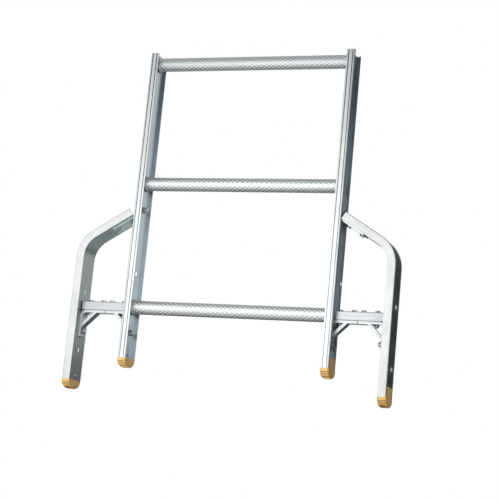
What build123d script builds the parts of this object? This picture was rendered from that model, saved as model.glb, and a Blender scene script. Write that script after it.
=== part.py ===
from build123d import *
import math
import os

os.makedirs("parts", exist_ok=True)

# The lower end of an aluminium rung ladder with a bent outrigger leg bolted to each stile.
# Units are millimetres. X runs along the rungs, Y from front to back, Z up the stiles.
# The origin is on the ground, midway between the two leg feet.
# The right-hand side is modelled, and the left-hand side is its mirror image.

# Ladder sizes
ladder_width = 476.0
rung_pitch = 280.0
first_rung_z = 186.5
rung_count = 3
stile_top_margin = 20.0
stile_foot_z = 53.0

# Stile section: a channel open outwards, with its web set back from the inner edge
stile_width = 18.0
stile_depth = 54.0
stile_flange = 3.0
stile_web = 1.6
stile_web_setback = 6.5
stile_lip = 6.0
groove_offset = 4.5
groove_width = 1.8
groove_depth = 1.2
edge_radius = 2.5
small_radius = 0.6

# Rungs: tubes swaged into the stile webs
rung_diameter = 30.5
rung_wall = 2.0
rung_fit = 0.15
bead_height = 2.2
bead_length = 3.6
bead_round = 1.3
flare_height = 1.2
flare_length = 1.4

# Outrigger legs: a lipped channel with one bend, with a thinner web than its flanges
outrigger_gap = 108.0
leg_width = 18.0
leg_depth = 58.0
leg_wall = 3.0
leg_web = 1.6
leg_lip = 6.0
arm_angle = 32.0
bend_radius = 62.0
bend_corner_z = 327.5
arm_end_gap = 1.5
spare_hole = 11.0
spare_hole_heights = (87.0, 217.5)
stile_spare_hole = 9.0
stile_spare_hole_z = 261.5

# Feet: moulded caps with a plug inside the channel
foot_height = 19.0
foot_proud = 0.6
foot_side_height = 3.0
foot_corner = 3.5
sole_length = 10.0
plug_height = 23.0
plug_fit = 0.2
tongue_setback = 0.5
rib_count = 3
rib_pitch = 4.4
rib_top_margin = 6.5
rib_groove = 1.4
rib_groove_depth = 0.9
rivet_diameter = 4.8
rivet_head = 8.5
rivet_head_height = 1.4
rivet_head_round = 1.0
rivet_reach = 4.0
rivet_above_foot = 10.0

# Struts: square tubes between each leg and stile
strut_size = 20.0
strut_wall = 2.0
strut_round = 2.5
strut_inner_round = 1.3
strut_z = 185.5
strut_leg_gap = 2.0
strut_stile_gap = 2.0

# Knee brackets: extruded triangles under both ends of each strut
knee_depth = 20.0
knee_flange = 5.5
knee_plate = 5.0
knee_height = 59.0
knee_seam = 1.5
knee_brace_reach = 38.4
knee_brace = 6.4
knee_corner = 12.0
knee_bolt_drop = 46.0
outer_bolt_reach = 19.0
screw_end_margin = 9.5

# Top brackets: bent plates between each arm and stile
top_plate = 2.5
top_plate_depth = 38.0
top_plate_rise = 26.0
top_plate_reach = 57.0
top_plate_bend = 3.0
top_plate_clip = 9.0
top_bolt_rise = 12.0
first_arm_bolt_reach = 14.0
arm_bolt_end_margin = 7.0

# Fasteners
m8 = 8.0
m8_flats = 13.0
m8_head = 5.3
m8_nut = 6.5
m8_collar = 10.8
m8_collar_height = 2.2
m6 = 6.0
m6_flats = 10.0
m6_head = 4.0
m6_nut = 5.0
m6_collar = 8.4
m6_collar_height = 1.7
bolt_tip = 2.0
hole_fit = 0.4
thread_fit = 0.1

# How far a cut runs past the wall it goes through, and how near two points count as one
cut_over = 1.0
point_match = 0.01

# Places worked out from the sizes above
stile_outer_x = ladder_width / 2
stile_inner_x = stile_outer_x - stile_width
web_inner_x = stile_inner_x + stile_web_setback
web_outer_x = web_inner_x + stile_web
stile_top_z = first_rung_z + (rung_count - 1) * rung_pitch + stile_top_margin
leg_inner_x = stile_outer_x + outrigger_gap
leg_web_x = leg_inner_x + leg_web
leg_outer_x = leg_inner_x + leg_width
leg_center_x = leg_inner_x + leg_width / 2
strut_bottom_z = strut_z - strut_size / 2
strut_top_z = strut_z + strut_size / 2
knee_length = (leg_inner_x - web_outer_x - knee_seam) / 2
inner_screw_reach = knee_length - screw_end_margin
knee_bolt_z = strut_bottom_z - knee_bolt_drop
arm_bolt_reaches = (first_arm_bolt_reach, top_plate_reach - arm_bolt_end_margin)
slope = math.radians(arm_angle)
along_arm = Vector(-math.cos(slope), 0, math.sin(slope))
under_arm = Vector(-math.sin(slope), 0, -math.cos(slope))


def corners(shape, points):
    """The vertices of a flat shape that lie on the given X, Y points."""
    found = []
    for vertex in shape.vertices():
        for x, y in points:
            if abs(vertex.X - x) < point_match and abs(vertex.Y - y) < point_match:
                found.append(vertex)
    return found


def block(x0, x1, y0, y1):
    """A flat rectangle between two X and two Y values."""
    return Pos((x0 + x1) / 2, (y0 + y1) / 2) * Rectangle(x1 - x0, y1 - y0)


def rod(start, direction, diameter, length):
    """A round bar from a point, along a direction."""
    return extrude(Plane(origin=start, z_dir=direction) * Circle(diameter / 2), length)


def hexagon(start, direction, flats, length):
    """A hexagon bar with two of its corners on the line along Y."""
    place = Plane(origin=start, x_dir=(0, 1, 0), z_dir=direction)
    return extrude(place * RegularPolygon(flats / 2, 6, major_radius=False), length)


def lock_nut(seat, direction, diameter, flats, height, collar, collar_height):
    """A lock nut: a hexagon on the seat point, with a round collar on top, and a bore for the bolt."""
    body = hexagon(seat, direction, flats, height - collar_height)
    body += rod(seat, direction, collar, height)
    return body - rod(seat, direction, diameter + 2 * thread_fit, height)


def m8_nut_at(seat, direction):
    """An M8 lock nut."""
    return lock_nut(seat, direction, m8, m8_flats, m8_nut, m8_collar, m8_collar_height)


def m6_nut_at(seat, direction):
    """An M6 lock nut."""
    return lock_nut(seat, direction, m6, m6_flats, m6_nut, m6_collar, m6_collar_height)


def bolt(seat, direction, diameter, flats, head, length):
    """A hexagon bolt: its head sits on the seat point, and its shank runs along the direction."""
    direction = Vector(direction)
    shank = rod(seat, direction, diameter, length)
    cap = hexagon(seat, direction * -1, flats, head)
    return cap + shank


def lipped_channel(x0, x1, half_depth, wall, lip, web_x0, web_x1):
    """A channel section that opens towards x1, with a web and two return lips."""
    inner = half_depth - wall
    section = block(web_x0, web_x1, -inner, inner)
    for front, back in ((-half_depth, -inner), (inner, half_depth)):
        section += block(x0, x1, front, back)
    section += block(x1 - wall, x1, -half_depth, -half_depth + lip)
    section += block(x1 - wall, x1, half_depth - lip, half_depth)
    outer_edges = corners(section, [(x1, -half_depth), (x1, half_depth)])
    section = fillet(outer_edges, edge_radius)
    inner_edges = corners(section, [(x0, -half_depth), (x0, half_depth)])
    return fillet(inner_edges, small_radius)


def stile():
    """The extruded stile with its two fine grooves on the front and back, and its holes."""
    half = stile_depth / 2
    section = lipped_channel(
        stile_inner_x, stile_outer_x, half, stile_flange, stile_lip, web_inner_x, web_outer_x)
    middle = stile_inner_x + stile_width / 2
    for side in (-1, 1):
        for offset in (-groove_offset, groove_offset):
            x = middle + offset
            groove = block(x - groove_width / 2, x + groove_width / 2, -groove_depth, groove_depth)
            section -= Pos(0, side * half) * groove
    bottom = stile_foot_z + foot_height
    body = extrude(Pos(0, 0, bottom) * section, stile_top_z - bottom)
    holes = [(stile_spare_hole_z, stile_spare_hole)]
    holes += [(knee_bolt_z, m8 + hole_fit), (top_bolt_z, m8 + hole_fit)]
    holes += [(bottom + rivet_above_foot, rivet_diameter + hole_fit)]
    holes += [(z, rung_diameter + 2 * rung_fit) for z in rung_heights]
    for z, diameter in holes:
        start = (web_inner_x - cut_over, 0, z)
        body -= rod(start, (1, 0, 0), diameter, stile_web + 2 * cut_over)
    return body


def rung(z):
    """A rung tube with a bead on the inside of each web and a flare on the outside."""
    end = web_outer_x + flare_length
    radius = rung_diameter / 2
    place = Plane(origin=(-end, 0, z), z_dir=(1, 0, 0))
    body = extrude(place * Circle(radius), 2 * end)
    for side in (-1, 1):
        bead_start = (side * web_inner_x, 0, z)
        bead = rod(bead_start, (-side, 0, 0), rung_diameter + 2 * bead_height, bead_length)
        body += fillet(bead.edges().filter_by(GeomType.CIRCLE), bead_round)
        flare_start = (side * web_outer_x, 0, z)
        body += rod(flare_start, (side, 0, 0), rung_diameter + 2 * flare_height, flare_length)
    return body - extrude(place * Circle(radius - rung_wall), 2 * end)


def leg():
    """The leg: one lipped channel, bent once, with its arm cut square at the stile."""
    bottom = foot_height
    section = lipped_channel(
        leg_inner_x, leg_outer_x, leg_depth / 2, leg_wall, leg_lip, leg_inner_x, leg_web_x)
    corner = Vector(leg_center_x, 0, bend_corner_z)
    path = FilletPolyline(
        (leg_center_x, 0, bottom), corner, arm_end, radius=bend_radius)
    body = sweep(Pos(0, 0, bottom) * section, path=path)
    holes = [(z, spare_hole) for z in spare_hole_heights]
    holes += [(knee_bolt_z, m8 + hole_fit)]
    holes += [(bottom + rivet_above_foot, rivet_diameter + hole_fit)]
    for z, diameter in holes:
        start = (leg_inner_x - cut_over, 0, z)
        body -= rod(start, (1, 0, 0), diameter, leg_web + 2 * cut_over)
    for reach in arm_bolt_reaches:
        start = arm_seat(reach) + under_arm * cut_over
        body -= rod(start, under_arm * -1, m6 + hole_fit, leg_web + 2 * cut_over)
    return body


def arm_seat(reach):
    """A point on the arm's underside, at a distance from its end at the stile."""
    return arm_lower_corner - along_arm * reach


def foot_side(half, bottom, top, inset):
    """The side view of a foot: a flat sole that curves up to the front and the back, less an inset."""
    edge = half - inset
    low = bottom + inset
    shoulder = top - foot_side_height
    flat = sole_length / 2
    back_curve = EllipticalCenterArc((flat, shoulder), edge - flat, shoulder - low, 270, arc_size=90)
    front_curve = EllipticalCenterArc((-flat, shoulder), edge - flat, shoulder - low, 180, arc_size=90)
    straight = Polyline((edge, shoulder), (edge, top), (-edge, top), (-edge, shoulder))
    return make_face([straight, front_curve, Line((-flat, low), (flat, low)), back_curve])


def foot(x0, x1, depth, bottom, web_x, lip_x, wall, lip):
    """A moulded foot: a cap on a curved sole with ribs across its front and back, and a plug above."""
    half = depth / 2 + foot_proud
    top = bottom + foot_height
    width = x1 - x0 + 2 * foot_proud
    place = Plane(origin=(x0 - foot_proud, 0, 0), x_dir=(0, 1, 0), z_dir=(1, 0, 0))
    outer = place * foot_side(half, bottom, top, 0.0)
    cap = extrude(outer, width)
    ends = cap.faces().sort_by(Axis.X)
    rims = ends[0].edges() + ends[-1].edges()
    cap = fillet([edge for edge in rims if edge.center().Z < top - point_match], foot_corner)
    skin = extrude(outer - place * foot_side(half, bottom, top, rib_groove_depth), width)
    for index in range(rib_count):
        z = top - rib_top_margin - index * rib_pitch
        cap -= skin & (Pos((x0 + x1) / 2, 0, z) * Box(width, 2 * half, rib_groove))
    inner = depth / 2 - wall - plug_fit
    mouth = depth / 2 - lip - plug_fit
    plug = block(web_x + plug_fit, lip_x - wall - plug_fit, -inner, inner)
    plug += block(web_x + plug_fit, lip_x - tongue_setback, -mouth, mouth)
    body = cap + extrude(Pos(0, 0, top) * plug, plug_height)
    hole_z = top + rivet_above_foot
    hole = rod((web_x, 0, hole_z), (1, 0, 0), rivet_diameter + hole_fit, rivet_reach + plug_fit)
    return body - hole


def rivet(web_inner, web_outer, z):
    """A dome-headed rivet through a web and into the plug of a foot."""
    shank = rod((web_inner, 0, z), (1, 0, 0), rivet_diameter, web_outer - web_inner + rivet_reach)
    head = rod((web_inner, 0, z), (-1, 0, 0), rivet_head, rivet_head_height)
    rim = head.edges().filter_by(GeomType.CIRCLE).sort_by(Axis.X)[0]
    return shank + fillet(rim, rivet_head_round)


def strut():
    """A square tube with four upright holes."""
    start = stile_outer_x + strut_stile_gap
    length = leg_inner_x - strut_leg_gap - start
    outer = RectangleRounded(strut_size, strut_size, strut_round)
    hollow = strut_size - 2 * strut_wall
    inner = RectangleRounded(hollow, hollow, strut_inner_round)
    place = Plane(origin=(start, 0, strut_z), x_dir=(0, 1, 0), z_dir=(1, 0, 0))
    body = extrude(place * (outer - inner), length)
    for x in outer_bolt_x + inner_screw_x:
        start = (x, 0, strut_bottom_z - cut_over)
        body -= rod(start, (0, 0, 1), m6 + hole_fit, strut_size + 2 * cut_over)
    return body


def knee_bracket(back_x, side):
    """A triangular bracket: its back is on a web at back_x, and it reaches along X by side."""
    face = block(0, knee_length, -knee_flange, 0)
    face += block(0, knee_plate, -knee_height, 0)
    brace_across = knee_brace * math.sqrt(2)
    low = knee_brace_reach + knee_flange
    high = low - brace_across
    brace = Polyline((0, -low), (low, 0), (high, 0), (0, -high), close=True)
    face += make_face(brace)
    face = fillet(corners(face, [(0, 0)]), knee_corner)
    window = [(knee_plate, -knee_flange)]
    face = fillet(corners(face, window), knee_corner - knee_flange / 2)
    corner = (back_x, side * knee_depth / 2, strut_bottom_z)
    place = Plane(origin=corner, x_dir=(side, 0, 0), z_dir=(0, -side, 0))
    body = extrude(place * face, knee_depth)
    clear_hole = (outer_bolt_reach, m6 + hole_fit)
    tapped_hole = (inner_screw_reach, m6 + 2 * thread_fit)
    for reach, diameter in (clear_hole, tapped_hole):
        start = (back_x + side * reach, 0, strut_bottom_z + cut_over)
        body -= rod(start, (0, 0, -1), diameter, knee_flange + 2 * cut_over)
    start = (back_x - side * cut_over, 0, knee_bolt_z)
    return body - rod(start, (side, 0, 0), m8 + hole_fit, knee_plate + 2 * cut_over)


def top_bracket():
    """A bent plate: one leaf on the stile web, the other under the arm."""
    face_x = web_outer_x + top_plate
    far = arm_seat(top_plate_reach)
    top_z = bend_z + top_plate_rise
    low_rise = (web_outer_x - far.X - under_arm.X * top_plate) / along_arm.X * along_arm.Z
    low_z = far.Z + under_arm.Z * top_plate + low_rise
    points = [
        (web_outer_x, top_z), (face_x, top_z), (face_x, bend_z), (far.X, far.Z),
        (far.X + under_arm.X * top_plate, far.Z + under_arm.Z * top_plate), (web_outer_x, low_z)]
    outline = make_face(Polyline(*points, close=True))
    outline = fillet(corners(outline, [(face_x, bend_z)]), top_plate_bend)
    outline = fillet(corners(outline, [(web_outer_x, low_z)]), top_plate_bend + top_plate)
    place = Plane(origin=(0, top_plate_depth / 2, 0), x_dir=(1, 0, 0), z_dir=(0, -1, 0))
    body = extrude(place * outline, top_plate_depth)
    top_edges = body.faces().sort_by(Axis.Z)[-1].edges().filter_by(Axis.X)
    body = chamfer(top_edges, top_plate_clip)
    through = top_plate + 2 * cut_over
    body -= rod((web_outer_x - cut_over, 0, top_bolt_z), (1, 0, 0), m8 + hole_fit, through)
    for reach in arm_bolt_reaches:
        body -= rod(arm_seat(reach) - under_arm * cut_over, under_arm, m6 + hole_fit, through)
    return body


# Shared places on the arm and along the stile
rung_heights = [first_rung_z + index * rung_pitch for index in range(rung_count)]
bend_center = Vector(leg_center_x, 0, bend_corner_z)
lower_line = bend_center + under_arm * (leg_width / 2)
arm_corner_x = stile_outer_x + arm_end_gap
arm_lower_corner = lower_line + along_arm * ((lower_line.X - arm_corner_x) / math.cos(slope))
arm_end = arm_lower_corner - under_arm * (leg_width / 2)
bend_z = lower_line.Z + (lower_line.X - web_outer_x - top_plate) * math.tan(slope)
top_bolt_z = bend_z + top_bolt_rise
outer_bolt_x = [web_outer_x + outer_bolt_reach, leg_inner_x - outer_bolt_reach]
inner_screw_x = [web_outer_x + inner_screw_reach, leg_inner_x - inner_screw_reach]


def side_pieces():
    """Every piece of the right-hand side, by its plain name."""
    pieces = {}
    pieces["stile"] = stile()
    pieces["leg"] = leg()
    pieces["strut"] = strut()
    pieces["stile_knee_bracket"] = knee_bracket(web_outer_x, 1)
    pieces["leg_knee_bracket"] = knee_bracket(leg_inner_x, -1)
    pieces["top_bracket"] = top_bracket()
    pieces["stile_foot"] = foot(
        stile_inner_x, stile_outer_x, stile_depth, stile_foot_z,
        web_outer_x, stile_outer_x, stile_flange, stile_lip)
    pieces["leg_foot"] = foot(
        leg_inner_x, leg_outer_x, leg_depth, 0.0,
        leg_web_x, leg_outer_x, leg_wall, leg_lip)
    return pieces


def side_fasteners():
    """The fasteners of the right-hand side, each group as a list of separate solids."""
    groups = {}
    down = (0, 0, -1)
    inwards = (-1, 0, 0)
    grip = strut_size + knee_flange
    flange_z = strut_bottom_z - knee_flange
    groups["strut_bolts"] = [
        bolt((x, 0, strut_top_z), down, m6, m6_flats, m6_head, grip + m6_nut + bolt_tip)
        for x in outer_bolt_x]
    groups["strut_nuts"] = [m6_nut_at((x, 0, flange_z), down) for x in outer_bolt_x]
    groups["strut_screws"] = [
        bolt((x, 0, strut_top_z), down, m6, m6_flats, m6_head, grip)
        for x in inner_screw_x]
    plate_x = web_outer_x + knee_plate
    reach = m8_nut + bolt_tip
    leg_plate_x = leg_inner_x - knee_plate
    groups["knee_bolts"] = [
        bolt((seat_x, 0, knee_bolt_z), inwards, m8, m8_flats, m8_head, seat_x - nut_x + reach)
        for seat_x, nut_x in ((plate_x, web_inner_x), (leg_web_x, leg_plate_x))]
    groups["knee_nuts"] = [m8_nut_at((x, 0, knee_bolt_z), inwards) for x in (web_inner_x, leg_plate_x)]
    bracket_x = web_outer_x + top_plate
    length = bracket_x - web_inner_x + reach
    groups["top_bracket_bolts"] = [
        bolt((bracket_x, 0, top_bolt_z), inwards, m8, m8_flats, m8_head, length)]
    groups["top_bracket_nuts"] = [m8_nut_at((web_inner_x, 0, top_bolt_z), inwards)]
    length = top_plate + leg_web + m6_nut + bolt_tip
    into_arm = under_arm * -1
    groups["arm_bolts"] = [
        bolt(arm_seat(place) + under_arm * top_plate, into_arm, m6, m6_flats, m6_head, length)
        for place in arm_bolt_reaches]
    groups["arm_nuts"] = [
        m6_nut_at(arm_seat(place) + into_arm * leg_web, into_arm) for place in arm_bolt_reaches]
    groups["foot_rivets"] = [
        rivet(web_inner_x, web_outer_x, stile_foot_z + foot_height + rivet_above_foot),
        rivet(leg_inner_x, leg_web_x, foot_height + rivet_above_foot)]
    return groups


def write(name, solids):
    """Write one node as a STEP file."""
    shape = solids[0] if len(solids) == 1 else Compound(children=solids)
    export_step(shape, os.path.join("parts", name + ".step"))


for name, solid in side_pieces().items():
    write("right_" + name, [solid])
    write("left_" + name, [mirror(solid, about=Plane.YZ)])

for name, solids in side_fasteners().items():
    write("right_" + name, solids)
    write("left_" + name, [mirror(solid, about=Plane.YZ) for solid in solids])

for name, z in zip(("bottom_rung", "middle_rung", "top_rung"), rung_heights):
    write(name, [rung(z)])
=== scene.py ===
import math

import bmesh
import bpy
import numpy as np
from mathutils import Matrix, Vector


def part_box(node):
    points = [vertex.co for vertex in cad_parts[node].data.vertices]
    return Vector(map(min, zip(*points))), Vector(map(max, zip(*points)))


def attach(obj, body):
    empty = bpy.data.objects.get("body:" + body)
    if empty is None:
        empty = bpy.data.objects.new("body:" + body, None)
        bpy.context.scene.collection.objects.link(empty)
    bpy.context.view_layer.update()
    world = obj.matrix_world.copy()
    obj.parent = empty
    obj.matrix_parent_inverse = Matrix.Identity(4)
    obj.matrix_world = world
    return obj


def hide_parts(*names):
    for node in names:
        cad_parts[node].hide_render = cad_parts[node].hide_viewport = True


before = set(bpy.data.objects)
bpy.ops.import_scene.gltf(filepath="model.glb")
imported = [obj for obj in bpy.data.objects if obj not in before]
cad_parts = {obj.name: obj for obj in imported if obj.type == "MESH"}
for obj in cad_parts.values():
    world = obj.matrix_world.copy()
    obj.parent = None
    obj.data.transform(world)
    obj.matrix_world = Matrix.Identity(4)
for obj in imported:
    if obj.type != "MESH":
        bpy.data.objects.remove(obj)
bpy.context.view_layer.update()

# Stiles
# Two extruded aluminium channels, open outwards, that carry the rungs. Their mill finish keeps the fine
# lines of the die along their length, under a thin oxide bloom. Handling has rubbed the front and back
# bright, and the sides are painted darker as shade. Grime and painted shade fill the two fine grooves
# there, and the painted shade grows up the stile, where the light falls off.


def linear(code):
    """An sRGB hex colour as linear red, green and blue, with full alpha."""
    part = np.array([int(code[place:place + 2], 16) for place in (1, 3, 5)]) / 255
    value = np.where(part <= 0.04045, part / 12.92, ((part + 0.055) / 1.055) ** 2.4)
    return (*value.tolist(), 1.0)


def empty_material(name):
    """A new material without nodes, and its node tree."""
    made = bpy.data.materials.new(name)
    made.use_nodes = True
    made.node_tree.nodes.clear()
    return made, made.node_tree


def add(tree, kind, sockets, **settings):
    """Add one node to a tree: its settings are properties, its sockets take values or links."""
    made = tree.nodes.new(kind)
    for name, value in settings.items():
        setattr(made, name, value)
    for name, value in sockets.items():
        if isinstance(value, bpy.types.NodeSocket):
            tree.links.new(value, made.inputs[name])
        else:
            made.inputs[name].default_value = value
    return made.outputs[0] if made.outputs else made


def per_metre(size_mm):
    """The scale of a pattern whose marks are that many millimetres across."""
    return 1000.0 / size_mm


sides = {"left": -1, "right": 1}
# The front and back, within these depths of their faces, get the lighter face colour; the rest gets the web
# colour, painted darker as shade.
rubbed_lit_start = 0.0016
rubbed_lit_full = 0.0004
bloom_shade = 0.90
groove_offset = 0.0045
# The grooves' fill, grime and painted shade: darker up the stile, between the low and the high height, as
# painted shade.
grime_shade_half = 0.0011
grime_shade_skin = 0.00015
grime_shade_floor = 0.0018
shade_rise_low = 0.25
shade_rise_high = 0.65
low_grime_shade = "#787E7F"
high_grime_shade = "#2A3033"
line_depth = 0.00005
oxide_metal = 0.92
rubbed_metal = 0.75
inner_sheen = 0.6
soft_noise = (0.3, 0.7)
crisp_noise = (0.35, 0.65)


def groove_grime_and_shade(tree, colour, across, depth, height, groove_x, half_depth):
    """The colour with grime and painted shade in one groove, darker up the stile as painted shade.

    Grime and painted shade lie within half a groove's width of the groove's place across, and between the
    groove's floor and the skin of the face.
    """
    away = add(tree, "ShaderNodeMath", {0: across, 1: groove_x}, operation="SUBTRACT")
    near = add(tree, "ShaderNodeMath", {0: away, 1: 0.0, 2: grime_shade_half}, operation="COMPARE")
    above = add(tree, "ShaderNodeMath", {0: depth, 1: half_depth - grime_shade_floor}, operation="GREATER_THAN")
    below = add(tree, "ShaderNodeMath", {0: depth, 1: half_depth - grime_shade_skin}, operation="LESS_THAN")
    grime_and_shade = add(tree, "ShaderNodeMath", {0: near, 1: above}, operation="MULTIPLY")
    grime_and_shade = add(tree, "ShaderNodeMath", {0: grime_and_shade, 1: below}, operation="MULTIPLY")
    # Painted shade: the fill darkens from the low height to the high height up the stile.
    shade_rise = add(tree, "ShaderNodeMapRange", {
        "Value": height, "From Min": shade_rise_low, "From Max": shade_rise_high, "To Min": 0.0, "To Max": 1.0})
    soil_and_shade = add(tree, "ShaderNodeMixRGB", {
        "Fac": shade_rise, "Color1": linear(low_grime_shade), "Color2": linear(high_grime_shade)})
    return add(tree, "ShaderNodeMixRGB", {"Fac": grime_and_shade, "Color1": colour, "Color2": soil_and_shade})


def aluminium(name, face, web, half_depth, gloss, line_size_mm, bloom_mm, groove_places=(), follow=None):
    """Drawn or extruded aluminium: metal under a thin oxide skin, with lines and an uneven bloom.

    The faces at the front and back, which lie half a depth from the middle, are rubbed brighter than the
    rest, and the rest is painted darker as shade. The lines are noise drawn out along one axis, given by a
    size in millimetres along X, Y and Z; they move the roughness and the bump. Real lines are too fine to
    show, so they are drawn coarser. On a bent piece, follow turns the place that they read. Grime and
    painted shade fill the grooves at the given places across.
    """
    made, tree = empty_material(name)
    place = tree.nodes.new("ShaderNodeTexCoord").outputs["Object"]
    split = tree.nodes.new("ShaderNodeSeparateXYZ")
    tree.links.new(place, split.inputs["Vector"])
    across = add(tree, "ShaderNodeMath", {0: split.outputs["X"]}, operation="ABSOLUTE")
    depth = add(tree, "ShaderNodeMath", {0: split.outputs["Y"]}, operation="ABSOLUTE")
    # Painted shade: away from the front and back, the colour falls to the darker web colour.
    rubbed_and_lit = add(tree, "ShaderNodeMapRange", {
        "Value": depth, "From Min": half_depth - rubbed_lit_start, "From Max": half_depth - rubbed_lit_full,
        "To Min": 0.0, "To Max": 1.0})
    colour = add(tree, "ShaderNodeMixRGB", {"Fac": rubbed_and_lit, "Color1": linear(web), "Color2": linear(face)})
    bloom = add(tree, "ShaderNodeTexNoise", {
        "Vector": place, "Scale": per_metre(bloom_mm), "Detail": 4.0, "Roughness": 0.55})
    shade = add(tree, "ShaderNodeMapRange", {
        "Value": bloom, "From Min": crisp_noise[0], "From Max": crisp_noise[1],
        "To Min": 1.0, "To Max": bloom_shade})
    colour = add(tree, "ShaderNodeMixRGB", {
        "Fac": 1.0, "Color1": colour, "Color2": shade}, blend_type="MULTIPLY")
    for groove_x in groove_places:
        colour = groove_grime_and_shade(tree, colour, across, depth, split.outputs["Z"], groove_x, half_depth)
    drawn = add(tree, "ShaderNodeMapping", {
        "Vector": follow(tree, place) if follow else place,
        "Scale": [per_metre(size) for size in line_size_mm]})
    lines = add(tree, "ShaderNodeTexNoise", {
        "Vector": drawn, "Scale": 1.0, "Detail": 3.0, "Roughness": 0.6})
    rough = add(tree, "ShaderNodeMapRange", {
        "Value": lines, "From Min": soft_noise[0], "From Max": soft_noise[1],
        "To Min": gloss[0], "To Max": gloss[1]})
    sheen = add(tree, "ShaderNodeMapRange", {
        "Value": rubbed_and_lit, "From Min": 0.0, "From Max": 1.0, "To Min": inner_sheen, "To Max": 1.0})
    rough = add(tree, "ShaderNodeMath", {0: rough, 1: sheen}, operation="MULTIPLY")
    relief = add(tree, "ShaderNodeBump", {"Height": lines, "Strength": 0.3, "Distance": line_depth})
    metal = add(tree, "ShaderNodeMapRange", {
        "Value": rubbed_and_lit, "From Min": 0.0, "From Max": 1.0, "To Min": oxide_metal, "To Max": rubbed_metal})
    skin = add(tree, "ShaderNodeBsdfPrincipled", {
        "Base Color": colour, "Roughness": rough, "Normal": relief, "Metallic": metal})
    add(tree, "ShaderNodeOutputMaterial", {"Surface": skin})
    return made


def dress(nodes, finish):
    """Give the finish to every material slot of the named pieces."""
    for name in nodes:
        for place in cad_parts[name].material_slots:
            place.material = finish


stile_low, stile_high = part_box("right_stile")
stile_middle = (stile_low.x + stile_high.x) / 2
stile_finish = aluminium(
    "mill_finish_stile_aluminium", face="#C9CCCD", web="#AFBAC0", half_depth=stile_high.y,
    gloss=(0.48, 0.60), line_size_mm=(0.8, 0.8, 160.0), bloom_mm=55.0,
    groove_places=(stile_middle - groove_offset, stile_middle + groove_offset))
dress([side + "_stile" for side in sides], stile_finish)

# Rungs
# Three aluminium tubes, swaged into the stile webs with a bead inside and a flare outside. A diamond knurl
# is rolled into them for grip, and stops short of the stiles. Dirt and painted shade fill its grooves,
# except along a band a little below the front, where boots and hands rub it off, kept bright as a painted
# highlight. The beads and flares are painted dark as the stiles' shadow.

rung_names = ("bottom_rung", "middle_rung", "top_rung")
rung_radius = 0.01525
rung_bore = 0.01325
bead_rise = 0.0022
bead_length = 0.0036
bead_fullness = 0.5
flare_rise = 0.0012
flare_length = 0.0014
flare_edge_share = 0.5
web_thickness = 0.0016
knurl_pitch = 0.01115
knurl_depth = 0.0006
knurl_groove = 0.26
knurl_end_margin = 0.001
knurl_fade = 0.003
# Painted shadow of the stile on the beads and flares.
bead_shadow = 0.7
# A clean band a little below the front: rubbed, and a painted highlight where the light falls.
rubbed_highlight_share = 0.88
rub_highlight_power = 6
rub_highlight_lean = math.radians(9)
diamonds_around = 12
steps_per_diamond = 12
bead_steps = 9
bore_steps = 7
rung_crease = 50
merge_distance = 1e-6
rung_bright = "#D2D6D6"
# Near-black fill in the knurl's grooves: dirt and painted shade.
rung_dirt_and_shade = "#15191C"
smear_mm = 18.0
smear_share = (0.85, 1.0)
diamond_rough = 0.54
dirt_rough = 0.62
rung_grain_mm = 0.9
rung_grain_depth = 0.00008


def groove(turns, width):
    """How deep a V groove is at each place, from 0 to 1, where grooves lie at whole turns."""
    return np.clip(1 - np.abs(turns - np.round(turns)) / width, 0, 1)


def join_grids(name, grids, crease_degrees):
    """One mesh object from closed grids of points, given as rows by columns.

    The columns of each grid close on themselves, and its rows do too where the grid is a ring. Each grid
    also says how dark its points are filled, with dirt and painted shade, from 0 to 1, and the mesh keeps
    that. Points that meet at a pole are merged, and the faces are turned outwards.
    """
    corners = []
    faces = []
    soil_and_shade = []
    start = 0
    for points, ring, dirt_and_shade in grids:
        rows, columns = points.shape[:2]
        index = start + np.arange(rows * columns).reshape(rows, columns)
        if ring:
            index = np.concatenate([index, index[:1]])
        index = np.concatenate([index, index[:, :1]], axis=1)
        quads = [index[:-1, :-1], index[1:, :-1], index[1:, 1:], index[:-1, 1:]]
        corners.append(points.reshape(-1, 3))
        faces.append(np.stack(quads, axis=-1).reshape(-1, 4))
        soil_and_shade.append(np.broadcast_to(dirt_and_shade, (rows, columns)).ravel())
        start += rows * columns
    mesh = bpy.data.meshes.new(name)
    mesh.from_pydata(np.concatenate(corners).tolist(), [], np.concatenate(faces).tolist())
    marks = mesh.attributes.new("dirt", "FLOAT", "POINT")
    marks.data.foreach_set("value", np.concatenate(soil_and_shade).astype(np.float32))
    shape = bmesh.new()
    shape.from_mesh(mesh)
    bmesh.ops.remove_doubles(shape, verts=shape.verts, dist=merge_distance)
    bmesh.ops.recalc_face_normals(shape, faces=shape.faces)
    shape.to_mesh(mesh)
    shape.free()
    mesh.shade_smooth()
    mesh.set_sharp_from_angle(angle=math.radians(crease_degrees))
    made = bpy.data.objects.new(name, mesh)
    bpy.context.scene.collection.objects.link(made)
    return made


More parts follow.
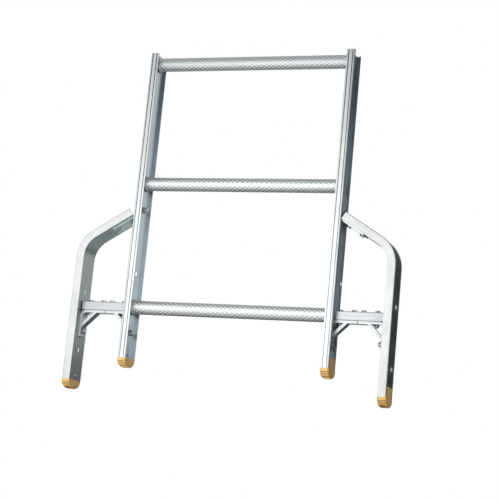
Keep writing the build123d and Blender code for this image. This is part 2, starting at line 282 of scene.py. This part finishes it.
def rung_stations(end):
    """Places along the rung, and the plain radius there: flare, web, bead and body, then the bore back.

    The bead's section is a power of a sine over its length, and the flare's is a step with its outer
    third chamfered.
    """
    web_face = end - flare_length
    bead_outer = web_face - web_thickness
    bead_inner = bead_outer - bead_length
    turn = np.linspace(0, np.pi, bead_steps)
    bead_x = bead_inner + bead_length * (1 - np.cos(turn)) / 2
    bead_r = rung_radius + bead_rise * np.sin(turn) ** bead_fullness
    flare_x = np.array([web_face, web_face, end - flare_length / 3, end])
    flare_r = rung_radius + flare_rise * np.array([0, 1, 1, flare_edge_share])
    half_x = np.concatenate([bead_x, flare_x])
    half_r = np.concatenate([bead_r, flare_r])
    count = round(2 * bead_inner / knurl_pitch * steps_per_diamond)
    body_x = np.linspace(-bead_inner, bead_inner, count)[1:-1]
    body_r = np.full(len(body_x), rung_radius)
    bore_x = np.linspace(end, -end, bore_steps)
    bore_r = np.full(len(bore_x), rung_bore)
    x = np.concatenate([-half_x[::-1], body_x, half_x, bore_x])
    r = np.concatenate([half_r[::-1], body_r, half_r, bore_r])
    return x, r, bead_inner


def knurled_rung(name):
    """A turned tube with two crossing sets of V grooves.

    A point's radius is the plain radius at its station, less the knurl's depth where either set of
    helical grooves runs: the sum, or the difference, of its turns round the tube and its pitches along
    it is a whole number there. The depth fades out before each bead. The dark fill, dirt and painted
    shade, follows the depth, less a power of the cosine of the angle from a line a little below the
    front, where it is rubbed off and a painted highlight is left. The beads and flares get painted shadow.
    """
    low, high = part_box(name)
    middle = (low + high) / 2
    x, r, bead_inner = rung_stations((high.x - low.x) / 2)
    angle = np.linspace(0, 2 * np.pi, diamonds_around * steps_per_diamond, endpoint=False)
    around = diamonds_around * angle[None, :] / (2 * np.pi)
    along = x[:, None] / knurl_pitch
    cut = np.maximum(groove(around + along, knurl_groove), groove(around - along, knurl_groove))
    reach = np.clip((bead_inner - knurl_end_margin - np.abs(x)) / knurl_fade, 0, 1)
    outside = (r >= rung_radius)[:, None]
    rolled = cut * reach[:, None] * outside
    radius = r[:, None] - knurl_depth * rolled
    points = np.stack([
        middle.x + np.broadcast_to(x[:, None], radius.shape),
        middle.y + radius * np.cos(angle), middle.z + radius * np.sin(angle)], axis=-1)
    # Painted highlight: a band a little below the front is kept clear of the dark fill.
    rubbed_and_lit = rubbed_highlight_share * np.clip(-np.cos(angle - rub_highlight_lean), 0, 1) ** rub_highlight_power
    # Painted shadow of the stiles on the beads and flares.
    bead_shadows = np.where(r > rung_radius, bead_shadow, 0.0)
    dirt_and_shade = np.maximum(rolled * (1 - rubbed_and_lit), bead_shadows[:, None])
    return join_grids(name + "_knurled", [(points, True, dirt_and_shade)], rung_crease)


def knurled_aluminium():
    """Rolled aluminium: bright and satin on the diamonds' tops, with near-black dirt and painted shade in the
    grooves.

    The dark fill is smeared unevenly. The fine grain of the rolled skin is drawn coarser than it is, to show.
    """
    made, tree = empty_material("knurled_rung_aluminium")
    place = tree.nodes.new("ShaderNodeTexCoord").outputs["Object"]
    # The dirt attribute carries dirt and painted shade.
    soil_and_shade = tree.nodes.new("ShaderNodeAttribute")
    soil_and_shade.attribute_name = "dirt"
    smears = add(tree, "ShaderNodeTexNoise", {
        "Vector": place, "Scale": per_metre(smear_mm), "Detail": 4.0, "Roughness": 0.6})
    smeared = add(tree, "ShaderNodeMapRange", {
        "Value": smears, "From Min": soft_noise[0], "From Max": soft_noise[1],
        "To Min": smear_share[0], "To Max": smear_share[1]})
    share = add(tree, "ShaderNodeMath", {0: soil_and_shade.outputs["Fac"], 1: smeared}, operation="MULTIPLY")
    colour = add(tree, "ShaderNodeMixRGB", {
        "Fac": share, "Color1": linear(rung_bright), "Color2": linear(rung_dirt_and_shade)})
    rough = add(tree, "ShaderNodeMapRange", {
        "Value": share, "From Min": 0.0, "From Max": 1.0, "To Min": diamond_rough, "To Max": dirt_rough})
    grain = add(tree, "ShaderNodeTexNoise", {
        "Vector": place, "Scale": per_metre(rung_grain_mm), "Detail": 2.0})
    relief = add(tree, "ShaderNodeBump", {
        "Height": grain, "Strength": 0.25, "Distance": rung_grain_depth})
    skin = add(tree, "ShaderNodeBsdfPrincipled", {
        "Base Color": colour, "Roughness": rough, "Normal": relief, "Metallic": 0.9})
    add(tree, "ShaderNodeOutputMaterial", {"Surface": skin})
    return made


rung_finish = knurled_aluminium()
for rung_name in rung_names:
    rung = knurled_rung(rung_name)
    rung.data.materials.append(rung_finish)
    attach(rung, "root")
    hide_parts(rung_name)

# Outrigger legs
# Two lipped aluminium channels, each bent once on a former, so that the upper end is an arm that meets the
# stile. The same mill finish as the stiles, a little duller from the bending and from handling. Their sides
# are painted darker than the front and back, as shade.

bend_height = 0.315
arm_slope = math.radians(32)


def along_leg(tree, place):
    """The place along either leg: above the bend it is turned about Y until the arm stands upright."""
    split = tree.nodes.new("ShaderNodeSeparateXYZ")
    tree.links.new(place, split.inputs["Vector"])
    across = add(tree, "ShaderNodeMath", {0: split.outputs["X"]}, operation="ABSOLUTE")
    straight = add(tree, "ShaderNodeCombineXYZ", {
        "X": across, "Y": split.outputs["Y"], "Z": split.outputs["Z"]})
    leaned = add(tree, "ShaderNodeVectorRotate", {
        "Vector": straight, "Angle": math.pi / 2 - arm_slope}, rotation_type="Y_AXIS")
    above = add(tree, "ShaderNodeMath", {0: split.outputs["Z"], 1: bend_height}, operation="GREATER_THAN")
    return add(tree, "ShaderNodeMixRGB", {"Fac": above, "Color1": straight, "Color2": leaned})


# The web colour, on the sides, is painted shade.
leg_finish = aluminium(
    "bent_channel_aluminium", face="#C6C7C8", web="#8B9493", half_depth=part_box("right_leg")[1].y,
    gloss=(0.50, 0.62), line_size_mm=(0.9, 0.9, 140.0), bloom_mm=45.0, follow=along_leg)
dress([side + "_leg" for side in sides], leg_finish)

# Struts
# Two square aluminium tubes between stile and leg, sawn to length and drilled for the upright bolts. The
# drawn tube has fine lines along X.

# The web colour, on the faces other than the front and back, is painted shade.
strut_finish = aluminium(
    "drawn_tube_aluminium", face="#B3B7B9", web="#8F989B", half_depth=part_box("right_strut")[1].y,
    gloss=(0.48, 0.60), line_size_mm=(120.0, 0.7, 0.7), bloom_mm=40.0)
dress([side + "_strut" for side in sides], strut_finish)

# Knee brackets and top brackets
# Triangular brackets sawn from one extrusion, and bent plates sheared from strip. Tumbled after cutting, so
# their faces are matt, with a short grain that runs no way in particular.

tumbled_grain_mm = (3.0, 3.0, 3.0)
tumbled_bloom_mm = 22.0
# The web colour, on the faces other than the front and back, is painted shade.
bracket_finish = aluminium(
    "tumbled_bracket_aluminium", face="#B6BABA", web="#A3ABAD",
    half_depth=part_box("right_leg_knee_bracket")[1].y, gloss=(0.44, 0.58),
    line_size_mm=tumbled_grain_mm, bloom_mm=tumbled_bloom_mm)
bracket_kinds = ("stile_knee_bracket", "leg_knee_bracket")
dress([side + "_" + kind for side in sides for kind in bracket_kinds], bracket_finish)
# The plates are painted lighter than the brackets, as the light that their leaves catch, and their web colour
# is painted shade.
plate_finish = aluminium(
    "sheared_plate_aluminium", face="#D2D6D6", web="#B4BCBC",
    half_depth=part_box("right_top_bracket")[1].y, gloss=(0.44, 0.58),
    line_size_mm=tumbled_grain_mm, bloom_mm=tumbled_bloom_mm)
dress([side + "_top_bracket" for side in sides], plate_finish)

# Bolts, screws, nuts and rivets
# Zinc-plated M6 and M8 hexagon bolts with lock nuts, and aluminium rivets in the feet. Forged heads have a
# chamfered top, the nuts have a round collar over their insert, and the rolled threads show past them.

m6 = 0.006
m8 = 0.008
thread_pitches = {m6: 0.001, m8: 0.00125}
head_sizes = {m6: (0.010, 0.004), m8: (0.013, 0.0053)}
collar_sizes = {m6: (0.0084, 0.0017), m8: (0.0108, 0.0022)}
thread_depth_share = 0.5
thread_gap = 0.0001
tip_share = 0.86
chamfer_share = 0.94
chamfer_slope = math.tan(math.radians(60))
head_steps = np.array([0.0, 0.1, 0.2, 0.35, 0.9, 1.0])
head_foot_share = 0.1
nut_steps = np.array([0.0, 0.06, 0.15, 0.5, 0.85, 0.94, 1.0])
countersink_share = 0.1
collar_steps = 6
rivet_head = 0.0014
rivet_head_radius = 0.00425
rivet_shank_radius = 0.0024
dome_steps = 8
fastener_columns = 48
steps_per_thread = 6
fastener_crease = 32
rivet_crease = 40
cloud_mm = 4.0
cloud_depth = 0.00005


def solids_along(name, direction, count):
    """A node's points, as one array for each of its solids, split at the widest gaps along a direction."""
    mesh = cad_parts[name].data
    points = np.empty(len(mesh.vertices) * 3)
    mesh.vertices.foreach_get("co", points)
    points = points.reshape(-1, 3)
    points = points[np.argsort(points @ direction)]
    gaps = np.diff(points @ direction)
    breaks = np.sort(np.argsort(gaps)[len(gaps) + 1 - count:]) + 1
    return np.split(points, breaks)


def axis_frame(points, axis):
    """The centre line's start, its length, and two directions across it; the first is front to back."""
    first = np.array([0.0, 1.0, 0.0])
    second = np.cross(axis, first)
    across = [points @ way for way in (first, second)]
    middle = [(values.min() + values.max()) / 2 for values in across]
    along = points @ axis
    start = axis * along.min() + first * middle[0] + second * middle[1]
    return start, along.max() - along.min(), first, second


def hexagon(angle, flats):
    """The distance from the centre to a hexagon's edge, where a corner lies at angle 0."""
    return flats / 2 / np.cos(np.mod(angle, np.pi / 3) - np.pi / 6)


def turned(start, axis, first, second, reach, radius):
    """Rows of points round an axis: row i lies at reach i and has a radius for each angle."""
    angle = np.linspace(0, 2 * np.pi, radius.shape[1], endpoint=False)
    spoke = np.cos(angle)[:, None] * first + np.sin(angle)[:, None] * second
    return start + reach[:, None, None] * axis + radius[:, :, None] * spoke


def bolt_grid(points, axis, diameter):
    """A hexagon bolt along an axis, from its head's top to its tip.

    The head is a hexagon under a cone, so its radius is the smaller of the two, and its foot is chamfered
    too. The thread is a helix: the radius falls by a cosine of the distance in pitches less the turn. It
    ends in a small cone.
    """
    flats, head = head_sizes[diameter]
    pitch = thread_pitches[diameter]
    start, length, first, second = axis_frame(points, axis)
    angle = np.linspace(0, 2 * np.pi, fastener_columns, endpoint=False)
    side = hexagon(angle, flats)
    top = chamfer_share * flats / 2
    head_reach = head_steps * head
    cone = np.minimum(side, top + head_reach[:, None] * chamfer_slope)
    cone[-1] = np.minimum(side, top + head_foot_share * head * chamfer_slope)
    thread_reach = np.arange(head, length - pitch / 2, pitch / steps_per_thread)
    turns = thread_reach[:, None] / pitch - angle / (2 * np.pi)
    fall = thread_depth_share * pitch * (0.5 - 0.5 * np.cos(2 * np.pi * turns))
    shank = diameter / 2 - fall
    tip = tip_share * diameter / 2 - thread_depth_share * pitch / 2
    pole = np.zeros((1, fastener_columns))
    radius = np.concatenate([pole, cone, shank, np.full((1, fastener_columns), tip), pole])
    reach = np.concatenate([[0.0], head_reach, thread_reach, [length, length]])
    return turned(start, axis, first, second, reach, radius), False, 0.0


def nut_grid(points, axis, diameter):
    """A lock nut as a ring: a hexagon under two cones, then a round collar, and a countersunk bore.

    The hexagon's radius is the smaller of its own and the cones', and the collar's edge follows a
    quarter of a circle.
    """
    flats, _ = head_sizes[diameter]
    collar, collar_height = collar_sizes[diameter]
    start, height, first, second = axis_frame(points, axis)
    angle = np.linspace(0, 2 * np.pi, fastener_columns, endpoint=False)
    top = chamfer_share * flats / 2
    shoulder = height - collar_height
    step = nut_steps * shoulder
    cone = np.minimum(step, shoulder - step)
    outside = np.minimum(hexagon(angle, flats), top + cone[:, None] * chamfer_slope)
    bend = np.linspace(0, np.pi / 2, collar_steps)
    edge = collar_height / 2
    bore = diameter / 2 + thread_gap
    sink = np.array([0.0, 0.0, countersink_share]) * diameter
    turned_radius = np.concatenate([[collar / 2], collar / 2 - edge * (1 - np.cos(bend)), bore + sink])
    inside = np.repeat(turned_radius[:, None], fastener_columns, axis=1)
    bore_reach = np.array([1.0, countersink_share, 0.0]) * height
    reach = np.concatenate([step, [shoulder], height - edge * (1 - np.sin(bend)), bore_reach])
    return turned(start, axis, first, second, reach, np.concatenate([outside, inside])), True, 0.0


def rivet_grid(points, axis):
    """A rivet: a low dome, a quarter of an ellipse in section, on a plain shank."""
    start, length, first, second = axis_frame(points, axis)
    quarter = np.linspace(0, np.pi / 2, dome_steps)
    reach = np.concatenate([rivet_head * (1 - np.cos(quarter)), [rivet_head, length, length]])
    radius = np.concatenate([
        rivet_head_radius * np.sin(quarter), [rivet_shank_radius, rivet_shank_radius, 0.0]])
    rows = np.repeat(radius[:, None], fastener_columns, axis=1)
    return turned(start, axis, first, second, reach, rows), False, 0.0


def plated(name, bright, dark, gloss):
    """A zinc-plated or plain metal skin: cloudy patches of bright and dull, in colour and in gloss."""
    made, tree = empty_material(name)
    place = tree.nodes.new("ShaderNodeTexCoord").outputs["Object"]
    clouds = add(tree, "ShaderNodeTexNoise", {
        "Vector": place, "Scale": per_metre(cloud_mm), "Detail": 5.0, "Roughness": 0.65})
    patch = add(tree, "ShaderNodeMapRange", {
        "Value": clouds, "From Min": crisp_noise[0], "From Max": crisp_noise[1],
        "To Min": 0.0, "To Max": 1.0})
    colour = add(tree, "ShaderNodeMixRGB", {
        "Fac": patch, "Color1": linear(bright), "Color2": linear(dark)})
    rough = add(tree, "ShaderNodeMapRange", {
        "Value": clouds, "From Min": soft_noise[0], "From Max": soft_noise[1],
        "To Min": gloss[0], "To Max": gloss[1]})
    relief = add(tree, "ShaderNodeBump", {"Height": clouds, "Strength": 0.2, "Distance": cloud_depth})
    skin = add(tree, "ShaderNodeBsdfPrincipled", {
        "Base Color": colour, "Roughness": rough, "Normal": relief, "Metallic": 1.0})
    add(tree, "ShaderNodeOutputMaterial", {"Surface": skin})
    return made


bolt_finish = plated("zinc_plated_bolt_steel", "#C2C8CB", "#9AA2A6", (0.28, 0.42))
nut_finish = plated("zinc_plated_nut_steel", "#B4BCC0", "#848C90", (0.30, 0.45))
rivet_finish = plated("plain_rivet_aluminium", "#B4BCBE", "#949C9E", (0.35, 0.5))
down = np.array([0.0, 0.0, -1.0])
for side, sign in sides.items():
    outwards = np.array([sign, 0.0, 0.0])
    into_arm = np.array([sign * math.sin(arm_slope), 0.0, math.cos(arm_slope)])
    along_arm = np.array([-sign * math.cos(arm_slope), 0.0, math.sin(arm_slope)])
    # Each row: the node, its shape, the way from head or seat to tip, the way in which the node's pieces
    # lie apart, the thread, and how many pieces there are.
    groups = (
        ("strut_bolts", bolt_grid, down, outwards, m6, 2),
        ("strut_screws", bolt_grid, down, outwards, m6, 2),
        ("strut_nuts", nut_grid, down, outwards, m6, 2),
        ("knee_bolts", bolt_grid, -outwards, outwards, m8, 2),
        ("knee_nuts", nut_grid, -outwards, outwards, m8, 2),
        ("top_bracket_bolts", bolt_grid, -outwards, outwards, m8, 1),
        ("top_bracket_nuts", nut_grid, -outwards, outwards, m8, 1),
        ("arm_bolts", bolt_grid, into_arm, along_arm, m6, 2),
        ("arm_nuts", nut_grid, into_arm, along_arm, m6, 2))
    for kind, shape, axis, apart, diameter, count in groups:
        node = side + "_" + kind
        grids = [shape(points, axis, diameter) for points in solids_along(node, apart, count)]
        fasteners = join_grids(node + "_threaded", grids, fastener_crease)
        fasteners.data.materials.append(nut_finish if shape is nut_grid else bolt_finish)
        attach(fasteners, "root")
        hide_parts(node)
    node = side + "_foot_rivets"
    grids = [rivet_grid(points, outwards) for points in solids_along(node, outwards, 2)]
    rivets = join_grids(node + "_domed", grids, rivet_crease)
    rivets.data.materials.append(rivet_finish)
    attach(rivets, "root")
    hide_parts(node)

# Feet
# Caps moulded in yellow rubber, pushed over the ends of the stiles and legs. The sole curves up to the front
# and the back, with ribs across it, and a plug with a tongue fills the channel above. Dirt and painted shade
# lie in the grooves, and the sides and the plug are painted darker as shade.

foot_height = 0.019
foot_proud = 0.0006
foot_side_height = 0.003
foot_corner = 0.0035
sole_half = 0.005
rib_count = 3
rib_pitch = 0.0044
rib_top_margin = 0.0081
rib_groove_half = 0.0010
rib_groove_depth = 0.0011
tread_pitch = 0.006
tread_reach = 0.010
tread_depth = 0.0008
tread_width = 0.18
web_depths = {"stile": 0.0081, "leg": 0.0016}
channel_wall = 0.003
channel_lip = 0.006
plug_fit = 0.0002
plug_sink = 0.0005
plug_chamfer = 0.0006
plug_chamfer_share = 0.97
tongue_setback = 0.0005
# How dark the caps' ends and the plugs are painted, as shade.
side_shade = 0.6
dirt_and_shade_cover = 0.95
side_steps = 5
curve_steps = 90
sole_steps = 24
corner_steps = 9
across_steps = 12
foot_crease = 40
rubber_light = "#D8B771"
rubber_deep = "#CAA056"
# Brown for dirt in the grooves and for painted shade on the sides.
rubber_dirt_and_shade = "#6E4410"
mottle_mm = 9.0
rubber_rough = (0.45, 0.65)
rubber_grain_mm = 0.7
rubber_grain_depth = 0.0001


def foot_outline(half_y, inset):
    """The side view of a foot for each inset, and the outward directions: across and up from the sole.

    It runs down the back, round a quarter of an ellipse to the sole, along the sole's flat, and up the
    front, which is the back's mirror image.
    """
    edge = half_y - inset[:, None]
    shoulder = foot_height - foot_side_height
    low = inset[:, None]
    side_z = np.linspace(foot_height, shoulder, side_steps)[:-1]
    turn = np.linspace(0, np.pi / 2, curve_steps)
    sole_y = np.linspace(sole_half, 0, sole_steps)[1:]
    rows = np.ones_like(edge)
    y = np.concatenate([
        edge * np.ones_like(side_z), sole_half + (edge - sole_half) * np.cos(turn), rows * sole_y], axis=1)
    z = np.concatenate([
        rows * side_z, shoulder - (shoulder - low) * np.sin(turn), low * np.ones_like(sole_y)], axis=1)
    out_y = np.concatenate([
        rows * np.ones_like(side_z), np.cos(turn) / (edge - sole_half), rows * np.zeros_like(sole_y)], axis=1)
    out_z = np.concatenate([
        rows * np.zeros_like(side_z), -np.sin(turn) / (shoulder - low), -rows * np.ones_like(sole_y)], axis=1)
    back = np.stack([y, z], axis=-1)
    out = np.stack([out_y, out_z], axis=-1)
    out = out / np.linalg.norm(out, axis=-1, keepdims=True)
    mirror = np.array([-1.0, 1.0])
    outline = np.concatenate([back, back[:, -2::-1] * mirror], axis=1)
    return outline, np.concatenate([out, out[:, -2::-1] * mirror], axis=1)


def foot_cap(low_x, high_x, half_y, bottom):
    """The cap: side views carried across, from the middle of one end to the middle of the other.

    Near each end the side view is drawn in by a quarter of a circle, and then shrinks to a point. Rib
    grooves lie at set heights on the front and back, and tread grooves at set steps along the sole. Dirt
    and painted shade fill the grooves, and painted shade grows over the ends with the inset.
    """
    turn = np.linspace(0, np.pi / 2, corner_steps)
    end_x = np.concatenate([[0, 0], foot_corner * (1 - np.cos(turn))])
    end_inset = np.concatenate([[foot_corner, foot_corner], foot_corner * (1 - np.sin(turn))])
    end_share = np.concatenate([[0.0, 0.5], np.ones_like(turn)])
    middle_x = np.linspace(low_x + foot_corner, high_x - foot_corner, across_steps)[1:-1]
    plain = np.ones_like(middle_x)
    x = np.concatenate([low_x + end_x, middle_x, high_x - end_x[::-1]])
    inset = np.concatenate([end_inset, 0 * plain, end_inset[::-1]])
    share = np.concatenate([end_share, plain, end_share[::-1]])[:, None]
    outline, out = foot_outline(half_y, inset)
    along, height = outline[:, :, 0], outline[:, :, 1]
    ribs = np.zeros_like(height)
    for index in range(rib_count):
        centre = foot_height - rib_top_margin - index * rib_pitch
        ribs = np.maximum(ribs, np.clip(1 - ((height - centre) / rib_groove_half) ** 2, 0, 1))
    tread = groove(along / tread_pitch, tread_width) * (np.abs(along) < tread_reach)
    tread = tread * (height < foot_height / 2)
    cut = (rib_groove_depth * ribs + tread_depth * tread) * (share == 1)
    outline = outline - out * cut[:, :, None]
    centre = np.array([0.0, foot_height / 2])
    outline = centre + share[:, :, None] * (outline - centre)
    across = np.broadcast_to(x[:, None], height.shape)
    points = np.stack([across, outline[:, :, 0], bottom + outline[:, :, 1]], axis=-1)
    # Dirt and painted shade in the grooves; painted shade over the ends.
    dirt_and_shade = np.maximum(np.maximum(ribs, tread) * (share == 1), side_shade * inset[:, None] / foot_corner)
    return points, False, dirt_and_shade


def foot_plug(inner_x, outer_x, tongue_x, half_y, low, high):
    """The plug and its tongue: one T-shaped outline from low to high, closed to its middle at both ends."""
    plug_y = half_y - channel_wall - plug_fit
    tongue_y = half_y - channel_lip - plug_fit
    x = np.array([inner_x, outer_x, outer_x, tongue_x, tongue_x, outer_x, outer_x, inner_x])
    y = np.array([plug_y, plug_y, tongue_y, tongue_y, -tongue_y, -tongue_y, -plug_y, -plug_y])
    centre = (inner_x + outer_x) / 2
    shrink = np.array([0.0, plug_chamfer_share, 1.0, 1.0, plug_chamfer_share, 0.0])
    z = np.array([low, low, low + plug_chamfer, high - plug_chamfer, high, high])
    px = centre + shrink[:, None] * (x - centre)
    py = shrink[:, None] * y
    # The plug, down in the channel, is painted dark as shade.
    return np.stack([px, py, np.broadcast_to(z[:, None], px.shape)], axis=-1), False, side_shade


def moulded_rubber():
    """Moulded rubber: a matt, slightly mottled yellow, with brown dirt and painted shade in the grooves, and
    painted shade on the sides.

    The mould's fine grain is drawn coarser than it is, to show.
    """
    made, tree = empty_material("moulded_yellow_rubber")
    place = tree.nodes.new("ShaderNodeTexCoord").outputs["Object"]
    mottle = add(tree, "ShaderNodeTexNoise", {
        "Vector": place, "Scale": per_metre(mottle_mm), "Detail": 5.0, "Roughness": 0.6})
    colour = add(tree, "ShaderNodeMixRGB", {
        "Fac": mottle, "Color1": linear(rubber_light), "Color2": linear(rubber_deep)})
    # The dirt attribute carries dirt and painted shade.
    soil_and_shade = tree.nodes.new("ShaderNodeAttribute")
    soil_and_shade.attribute_name = "dirt"
    share = add(tree, "ShaderNodeMath", {0: soil_and_shade.outputs["Fac"], 1: dirt_and_shade_cover}, operation="MULTIPLY")
    colour = add(tree, "ShaderNodeMixRGB", {
        "Fac": share, "Color1": colour, "Color2": linear(rubber_dirt_and_shade)})
    grain = add(tree, "ShaderNodeTexNoise", {
        "Vector": place, "Scale": per_metre(rubber_grain_mm), "Detail": 2.0})
    rough = add(tree, "ShaderNodeMapRange", {
        "Value": mottle, "From Min": soft_noise[0], "From Max": soft_noise[1],
        "To Min": rubber_rough[0], "To Max": rubber_rough[1]})
    relief = add(tree, "ShaderNodeBump", {
        "Height": grain, "Strength": 0.3, "Distance": rubber_grain_depth})
    skin = add(tree, "ShaderNodeBsdfPrincipled", {
        "Base Color": colour, "Roughness": rough, "Normal": relief, "Metallic": 0.0})
    add(tree, "ShaderNodeOutputMaterial", {"Surface": skin})
    return made


rubber_finish = moulded_rubber()
for side, sign in sides.items():
    for member, web_depth in web_depths.items():
        node = side + "_" + member + "_foot"
        low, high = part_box(node)
        inner = sign * (min(abs(low.x), abs(high.x)) + foot_proud)
        outer = sign * (max(abs(low.x), abs(high.x)) - foot_proud)
        cap = foot_cap(low.x, high.x, high.y, low.z)
        plug = foot_plug(
            inner + sign * (web_depth + plug_fit), outer - sign * (channel_wall + plug_fit),
            outer - sign * tongue_setback, high.y - foot_proud, low.z + foot_height - plug_sink, high.z)
        foot = join_grids(node + "_moulded", [cap, plug], foot_crease)
        foot.data.materials.append(rubber_finish)
        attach(foot, "root")
        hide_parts(node)

# Floor and background
# A plain pale floor that keeps the object's shadow. The camera looks up from below its level, so the floor
# lets rays through from underneath. The world is plain white.

floor_half = 6.0
floor_mesh = bpy.data.meshes.new("floor")
floor_mesh.from_pydata(
    [(-floor_half, -floor_half, 0), (floor_half, -floor_half, 0),
     (floor_half, floor_half, 0), (-floor_half, floor_half, 0)], [], [(0, 1, 2, 3)])
floor = bpy.data.objects.new("floor", floor_mesh)
bpy.context.scene.collection.objects.link(floor)
paint, tree = empty_material("pale_floor_paint")
matt = add(tree, "ShaderNodeBsdfDiffuse", {"Color": linear("#FAFAFA")})
through = add(tree, "ShaderNodeBsdfTransparent", {})
behind = tree.nodes.new("ShaderNodeNewGeometry").outputs["Backfacing"]
mixed = add(tree, "ShaderNodeMixShader", {0: behind, 1: matt, 2: through})
add(tree, "ShaderNodeOutputMaterial", {"Surface": mixed})
floor_mesh.materials.append(paint)

world = bpy.data.worlds.new("white_studio")
world.use_nodes = True
bpy.context.scene.world = world
tree = world.node_tree
tree.nodes.clear()
white = add(tree, "ShaderNodeBackground", {"Color": linear("#FFFFFF"), "Strength": 1.0})
add(tree, "ShaderNodeOutputWorld", {"Surface": white})

# Dark flags
# Felt cards above the front, behind and on the ground, which only reflections show, so that the metal's
# sides and lower faces have something dark to reflect. They are studio aids and no part of the object.

card_lift = 0.002
felt_colours = {"dark_felt": "#2E3838", "blue_felt": "#1C464C", "grey_felt": "#C6D0D0"}
felts = {}
for name, code in felt_colours.items():
    felts[name], tree = empty_material(name)
    skin = add(tree, "ShaderNodeBsdfPrincipled", {"Base Color": linear(code), "Roughness": 1.0})
    add(tree, "ShaderNodeOutputMaterial", {"Surface": skin})
# Each card is given by its felt and two opposite corners.
flags = {
    "front_flag": ("blue_felt", (-2.0, -0.45, 0.72), (2.0, -0.45, 1.4)),
    "back_flag": ("dark_felt", (0.27, 0.35, 0.0), (3.0, 0.35, 1.4)),
    "low_flag": ("dark_felt", (0.0, 1.3, 0.0), (2.5, 1.3, 0.27)),
    "ground_flag": ("dark_felt", (-2.0, 0.0, card_lift), (2.0, 0.42, card_lift)),
    "far_ground_flag": ("grey_felt", (-0.8, 0.42, card_lift), (2.0, 1.2, card_lift))}
for name, (felt, low, high) in flags.items():
    card_mesh = bpy.data.meshes.new(name)
    card_mesh.from_pydata(
        [low, (high[0], low[1], low[2]), high, (low[0], high[1], high[2])], [], [(0, 1, 2, 3)])
    card_mesh.materials.append(felts[felt])
    card = bpy.data.objects.new(name, card_mesh)
    bpy.context.scene.collection.objects.link(card)
    card.visible_camera = False
    card.visible_shadow = False
    card.visible_diffuse = False

# Lamps
# A far key lamp at the front left, a little above the level of the rungs, and a soft round panel close in
# front, a little below the middle rung, so that the highlight sits lower on each higher rung.

key_towards = Vector((0.44, 1.0, -0.17))
key_strength = 0.44
key_spread = 1.5
panel_place = Vector((-0.15, -0.78, 0.36))
panel_towards = Vector((0.15, 0.78, 0.0))
panel_size = 0.5
panel_power = 2.5
key = bpy.data.lights.new("key", "SUN")
key.energy = key_strength
key.angle = math.radians(key_spread)
panel = bpy.data.lights.new("panel", "AREA")
panel.shape = "DISK"
panel.size = panel_size
panel.energy = panel_power
for light, place, towards in ((key, Vector(), key_towards), (panel, panel_place, panel_towards)):
    lamp = bpy.data.objects.new(light.name, light)
    lamp.location = place
    lamp.rotation_mode = "QUATERNION"
    lamp.rotation_quaternion = towards.to_track_quat("-Z", "Y")
    lamp.visible_camera = False
    bpy.context.scene.collection.objects.link(lamp)

# Camera
# Below and to the right of the object, turned a little about its own axis, as in the photograph.

camera_place = Vector((1.0765, -2.9184, -0.3033))
camera_yaw = math.radians(19.677)
camera_pitch = math.radians(-11.414)
camera_roll = math.radians(5.517)
focal_pixels = 1464.64
picture_pixels = 500
back = Vector((
    math.sin(camera_yaw) * math.cos(camera_pitch), -math.cos(camera_yaw) * math.cos(camera_pitch),
    math.sin(camera_pitch)))
level = Vector((math.cos(camera_yaw), math.sin(camera_yaw), 0))
upright = level.cross(-back)
right = math.cos(camera_roll) * level + math.sin(camera_roll) * upright
up = math.cos(camera_roll) * upright - math.sin(camera_roll) * level
lens = bpy.data.cameras.new("camera")
lens.sensor_width = 36.0
lens.lens = lens.sensor_width * focal_pixels / picture_pixels
camera = bpy.data.objects.new("camera", lens)
camera.matrix_world = Matrix((
    (right.x, up.x, back.x, camera_place.x), (right.y, up.y, back.y, camera_place.y),
    (right.z, up.z, back.z, camera_place.z), (0, 0, 0, 1)))
bpy.context.scene.collection.objects.link(camera)
bpy.context.scene.camera = camera
bpy.context.scene.view_settings.view_transform = "Standard"
